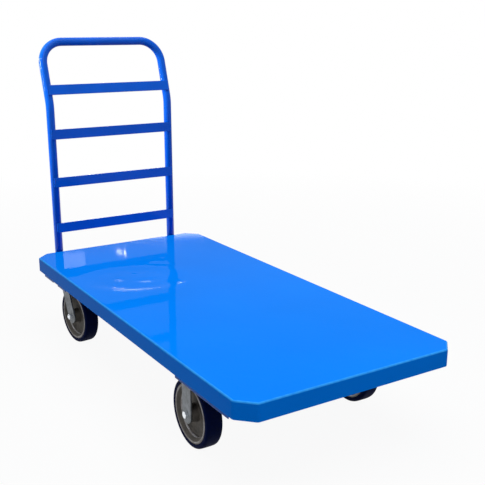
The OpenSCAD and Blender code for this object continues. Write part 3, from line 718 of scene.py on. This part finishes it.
for side in ("left", "right"):
    word = side.title()
    for kind, end, body in (("rigid", "front_", "deck"), ("swivel", "rear_", "swivel_" + side)):
        node = "%s_fork_%s" % (kind, side)
        evenShading(settled(pressedFork(node, wheels[end + side]), kind + "Fork" + word, body, forkZinc,
                            (node,), 40))
    for kind in ("rigid", "swivel"):
        node = "%s_plate_%s" % (kind, side)
        evenShading(settled(eased((node,), forkLook["plateEdge"]), kind + "Plate" + word, "deck", forkZinc,
                            (node,), 40))
for name, node in (("kingpinPair", "kingpins"), ("kingpinNutPair", "kingpin_nuts")):
    settled(eased((node,), forkLook["pinEdge"]), name, "deck", boltZinc, (node,))
print("casters pressed")

wheelLook = {"steps": 96, "roundSteps": 4, "bore": 0.0151, "boreRound": 0.0006, "hubRadius": 0.024,
             "hubHalf": 0.0284, "hubRound": 0.0015, "webHalf": 0.0045, "shoulder": 0.070,
             "shoulderHalf": 0.0124, "rimRadius": 0.080, "coreRadius": 0.087, "coreRound": 0.0006,
             "rimHalf": 0.0244, "lipWide": 0.003, "lipHigh": 0.0008, "lipSlope": 0.0004, "draft": 0.00305,
             "fillet": 0.004, "small": 0.0008}
coreLook = {"lipRadius": 0.0795, "lipBlur": 0.001, "lipShine": 0.95, "lipOuter": 0.083, "lipFade": 0.002,
            "rimShare": 0.3, "edgeRadius": 0.0703, "edgeHighlight": (0.0006, 0.0018), "dish": (0.055, 0.05, 0.043),
            "dishDust": (0.13, 0.11, 0.09), "dishBand": (0.35, 0.7), "face": (0.35, 0.34, 0.35),
            "faceBloom": (0.14, 0.12, 0.11), "faceBand": (0.4, 0.66), "dishRough": 0.6, "faceRough": 0.4,
            "metal": (0.25, 0.6), "bloomScale": 40, "toolPitch": 4200, "toolDepth": 0.00006,
            "toolStrength": 0.6, "sandScale": 260, "sandDepth": 0.0003, "sandStrength": 0.5}
# the tread's rubber colour is dark rubber with a painted blue reflection
rubberLook = {"halfWidth": 0.0254, "rubberWithBlueReflection": (0.0004, 0.005, 0.045), "dust": (0.009, 0.012, 0.036),
              "dustBand": (0.44, 0.66), "dustShare": (0.08, 0.85), "rollInset": (0.004, 0.0005), "rough": 0.5,
              "spread": 0.25, "roughBand": (0.3, 0.7), "shine": 0.03, "scuffScale": 75, "nickScale": 380,
              "scuffRelief": (0.0008, 0.35), "nickRelief": (0.0003, 0.4), "edge": 0.0065, "inner": 0.0872,
              "innerRound": 0.0004, "outer": 0.1016, "crownDrop": 0.0008, "crownShare": 0.45,
              "crownRound": 0.003}


# half a section, as radius, distance from the middle and rounding, is mirrored and turned
def turnedRing(half, steps, wheel):
    corners = half + [(radius, -across, size) for radius, across, size in reversed(half)]
    bm = bmesh.new()
    section = [bm.verts.new((radius, across, 0)) for radius, across, size in corners]
    bm.faces.new(section)
    for least in sorted({size for radius, across, size in corners if size}):
        chosen = [v for v, (radius, across, size) in zip(section, corners) if size == least]
        rounded(bm, chosen, least, wheelLook["roundSteps"], "VERTICES")
    bmesh.ops.delete(bm, geom=bm.faces[:], context="FACES_ONLY")
    bmesh.ops.spin(bm, geom=bm.verts[:] + bm.edges[:], cent=(0, 0, 0), axis=(0, 1, 0), angle=2 * pi,
                   steps=steps, use_merge=True, use_duplicate=False)
    bmesh.ops.transform(bm, matrix=wheelPlace(wheel), verts=bm.verts)
    return bm


w, t = wheelLook, rubberLook
coreHalf = [(w["bore"], w["hubHalf"], w["boreRound"]), (w["hubRadius"], w["hubHalf"], w["hubRound"]),
            (w["hubRadius"] + w["draft"], w["webHalf"], w["fillet"]),
            (w["shoulder"] - w["draft"], w["webHalf"], w["fillet"]),
            (w["shoulder"], w["shoulderHalf"], w["small"]),
            (w["rimRadius"], w["rimHalf"] + w["lipHigh"], w["small"]),
            (w["rimRadius"] + w["lipWide"], w["rimHalf"] + w["lipHigh"], w["small"]),
            (w["rimRadius"] + w["lipWide"] + w["lipSlope"], w["rimHalf"], 0.0),
            (w["coreRadius"], w["rimHalf"], w["coreRound"])]
treadHalf = [(t["inner"], t["halfWidth"], t["innerRound"]),
             (t["outer"] - t["crownDrop"], t["halfWidth"], t["edge"]),
             (t["outer"], t["halfWidth"] * t["crownShare"], t["crownRound"])]
for name, wheel in wheels.items():
    end, side = name.split("_")
    word = end + side.title()
    body = "wheel_" + name
    centre = tuple(wheel["heart"])
    settled(turnedRing(coreHalf, w["steps"], wheel), word + "Core", body,
            castCore(word + "Iron", centre, wheel["yaw"], coreLook), (name + "_wheel",), 40)
    settled(turnedRing(treadHalf, w["steps"], wheel), word + "Tread", body,
            treadRubber(word + "Rubber", centre, wheel["yaw"], rubberLook), (name + "_tread",), 50)
print("wheels turned")

# bearings and bushes keep their own shapes
for node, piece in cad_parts.items():
    if any(word in node for word in ("rollers", "balls", "bush", "thrust")):
        piece.data.materials.clear()
        piece.data.materials.append(rollerSteel)
        for face in piece.data.polygons:
            face.material_index = 0

studio = {"floorSize": 60, "floorDrop": 0.001, "floorNear": 0.985, "glowNear": 0.95, "fade": (1.2, 4.0),
          "floorMatte": (0.3, 0.3, 0.3), "floorWhite": (0.9, 0.9, 0.9), "pure": (1, 1, 1),
          "sky": (0.8, 0.9, 1.0), "skyStrength": 0.36, "lamp": (0.8, 0.0, 3.3), "lampSize": (4.2, 3.2),
          "power": 99, "sideSize": (1.4, 1.2), "sidePower": 330, "sideTurn": 253, "sideLift": 18,
          "sideAway": 4, "sideFrom": (-0.8, 0, 1.0)}


def stagePiece(name, bm, mat):
    mesh = bpy.data.meshes.new(name)
    bm.to_mesh(mesh)
    bm.free()
    mesh.materials.append(mat)
    item = bpy.data.objects.new(name, mesh)
    bpy.context.scene.collection.objects.link(item)
    return item


def bareMaterial(name):
    mat = bpy.data.materials.new(name)
    mat.use_nodes = True
    tree = mat.node_tree
    tree.nodes.remove(tree.nodes["Principled BSDF"])
    return mat, tree, tree.nodes["Material Output"].inputs["Surface"]


def coloured(node, colour, strength=None):
    node.inputs["Color"].default_value = (*colour, 1)
    if strength is not None:
        node.inputs["Strength"].default_value = strength
    return node


def blended(tree, amount, first, second):
    mix = tree.nodes.new("ShaderNodeMixShader")
    for socket, source in zip(mix.inputs, (amount, first, second)):
        tree.links.new(source, socket)
    return mix.outputs[0]


def seenRays(tree):
    rays = tree.nodes.new("ShaderNodeLightPath")
    seen = combined(tree, "MAXIMUM", rays.outputs["Is Camera Ray"], rays.outputs["Is Glossy Ray"])
    return combined(tree, "MAXIMUM", seen, rays.outputs["Is Transmission Ray"])


# the floor: white where it is seen, with the object's shadow, and matte for bounced light
floorMat, tree, surface = bareMaterial("paleFloor")
bright = coloured(tree.nodes.new("ShaderNodeEmission"), studio["pure"])
matte = coloured(tree.nodes.new("ShaderNodeBsdfDiffuse"), studio["floorMatte"])
white = coloured(tree.nodes.new("ShaderNodeBsdfDiffuse"), studio["floorWhite"])
reach = tree.nodes.new("ShaderNodeVectorMath")
reach.operation = "LENGTH"
tree.links.new(surfacePoint(tree), reach.inputs[0])
away = reach.outputs["Value"]
tree.links.new(rescaled(tree, away, *studio["fade"], studio["floorNear"], 1), bright.inputs["Strength"])
glow = blended(tree, rescaled(tree, away, *studio["fade"], studio["glowNear"], 1), white.outputs[0],
               bright.outputs[0])
tree.links.new(blended(tree, seenRays(tree), matte.outputs[0], glow), surface)
bm = bmesh.new()
bmesh.ops.create_grid(bm, x_segments=1, y_segments=1, size=studio["floorSize"] / 2,
                      matrix=Matrix.Translation((0, 0, -studio["floorDrop"])))
stagePiece("paleFloor", bm, floorMat)

world = bpy.data.worlds.new("studioWorld")
bpy.context.scene.world = world
world.use_nodes = True
tree = world.node_tree
dim = coloured(tree.nodes["Background"], studio["sky"], studio["skyStrength"])
plain = coloured(tree.nodes.new("ShaderNodeBackground"), studio["pure"], 1)
tree.links.new(blended(tree, seenRays(tree), dim.outputs[0], plain.outputs[0]),
               tree.nodes["World Output"].inputs["Surface"])


def glowing(name, colour, strength):
    mat, tree, surface = bareMaterial(name)
    light = coloured(tree.nodes.new("ShaderNodeEmission"), colour, strength)
    tree.links.new(light.outputs[0], surface)
    return mat


def onlyInGloss(item):
    item.visible_camera = False
    item.visible_diffuse = False
    item.visible_shadow = False
    item.visible_transmission = False
    item.visible_volume_scatter = False


# a place away from a spot, at an azimuth and an elevation in degrees
def outAt(spot, azimuth, height, away):
    return (Matrix.Translation(spot) @ Matrix.Rotation(radians(azimuth), 4, "Z")
            @ Matrix.Rotation(-radians(height), 4, "Y") @ Matrix.Translation((away, 0, 0)))


# pale panes that the gloss of the deck picks up: azimuth, elevation, half width, half height, strength
panes = {"away": 12.0, "apart": 0.05, "from": (-0.4, -0.2, 0.287), "colour": (0.9, 0.96, 1.0),
         "set": ((160.9, 15.8, 1.0, 0.75, 4.5), (156.0, 13.25, 7.0, 0.8, 9), (156.0, 12.85, 5.0, 0.4, 100),
                 (152.1, 15.6, 0.12, 1.4, 5), (156.7, 15.2, 0.25, 0.06, 60), (156.2, 15.3, 0.07, 0.16, 60))}
for number, (azimuth, height, halfWide, halfHigh, strength) in enumerate(panes["set"]):
    bm = bmesh.new()
    pane = bmesh.ops.create_grid(bm, x_segments=1, y_segments=1, size=1)["verts"]
    away = panes["away"] + panes["apart"] * number
    size = Matrix.Diagonal((away * tan(radians(halfWide)), away * tan(radians(halfHigh)), 1, 1))
    upright = Matrix.Rotation(pi / 2, 4, "Z") @ Matrix.Rotation(pi / 2, 4, "X")
    bmesh.ops.transform(bm, matrix=outAt(panes["from"], azimuth, height, away) @ upright @ size, verts=pane)
    onlyInGloss(stagePiece("pane%d" % number, bm, glowing("paneLight%d" % number, panes["colour"], strength)))


def areaLamp(name, size, power):
    lamp = bpy.data.objects.new(name, bpy.data.lights.new(name, "AREA"))
    lamp.data.shape = "RECTANGLE"
    lamp.data.size, lamp.data.size_y = size
    lamp.data.energy = power
    bpy.context.scene.collection.objects.link(lamp)
    return lamp


areaLamp("overheadLamp", studio["lampSize"], studio["power"]).location = studio["lamp"]
# a side lamp that only the gloss of the handle picks up
sideLamp = areaLamp("sideLamp", studio["sideSize"], studio["sidePower"])
sideLamp.data.diffuse_factor = 0
sideLamp.matrix_world = (outAt(studio["sideFrom"], studio["sideTurn"], studio["sideLift"], studio["sideAway"])
                         @ Matrix.Rotation(pi / 2, 4, "Y"))
tubes = bpy.data.collections.new("glossOfHandle")
for item in (handleTube, rungWelds):
    tubes.objects.link(item)
sideLamp.light_linking.receiver_collection = tubes
bpy.context.scene.view_settings.view_transform = "Standard"
print("studio lit")
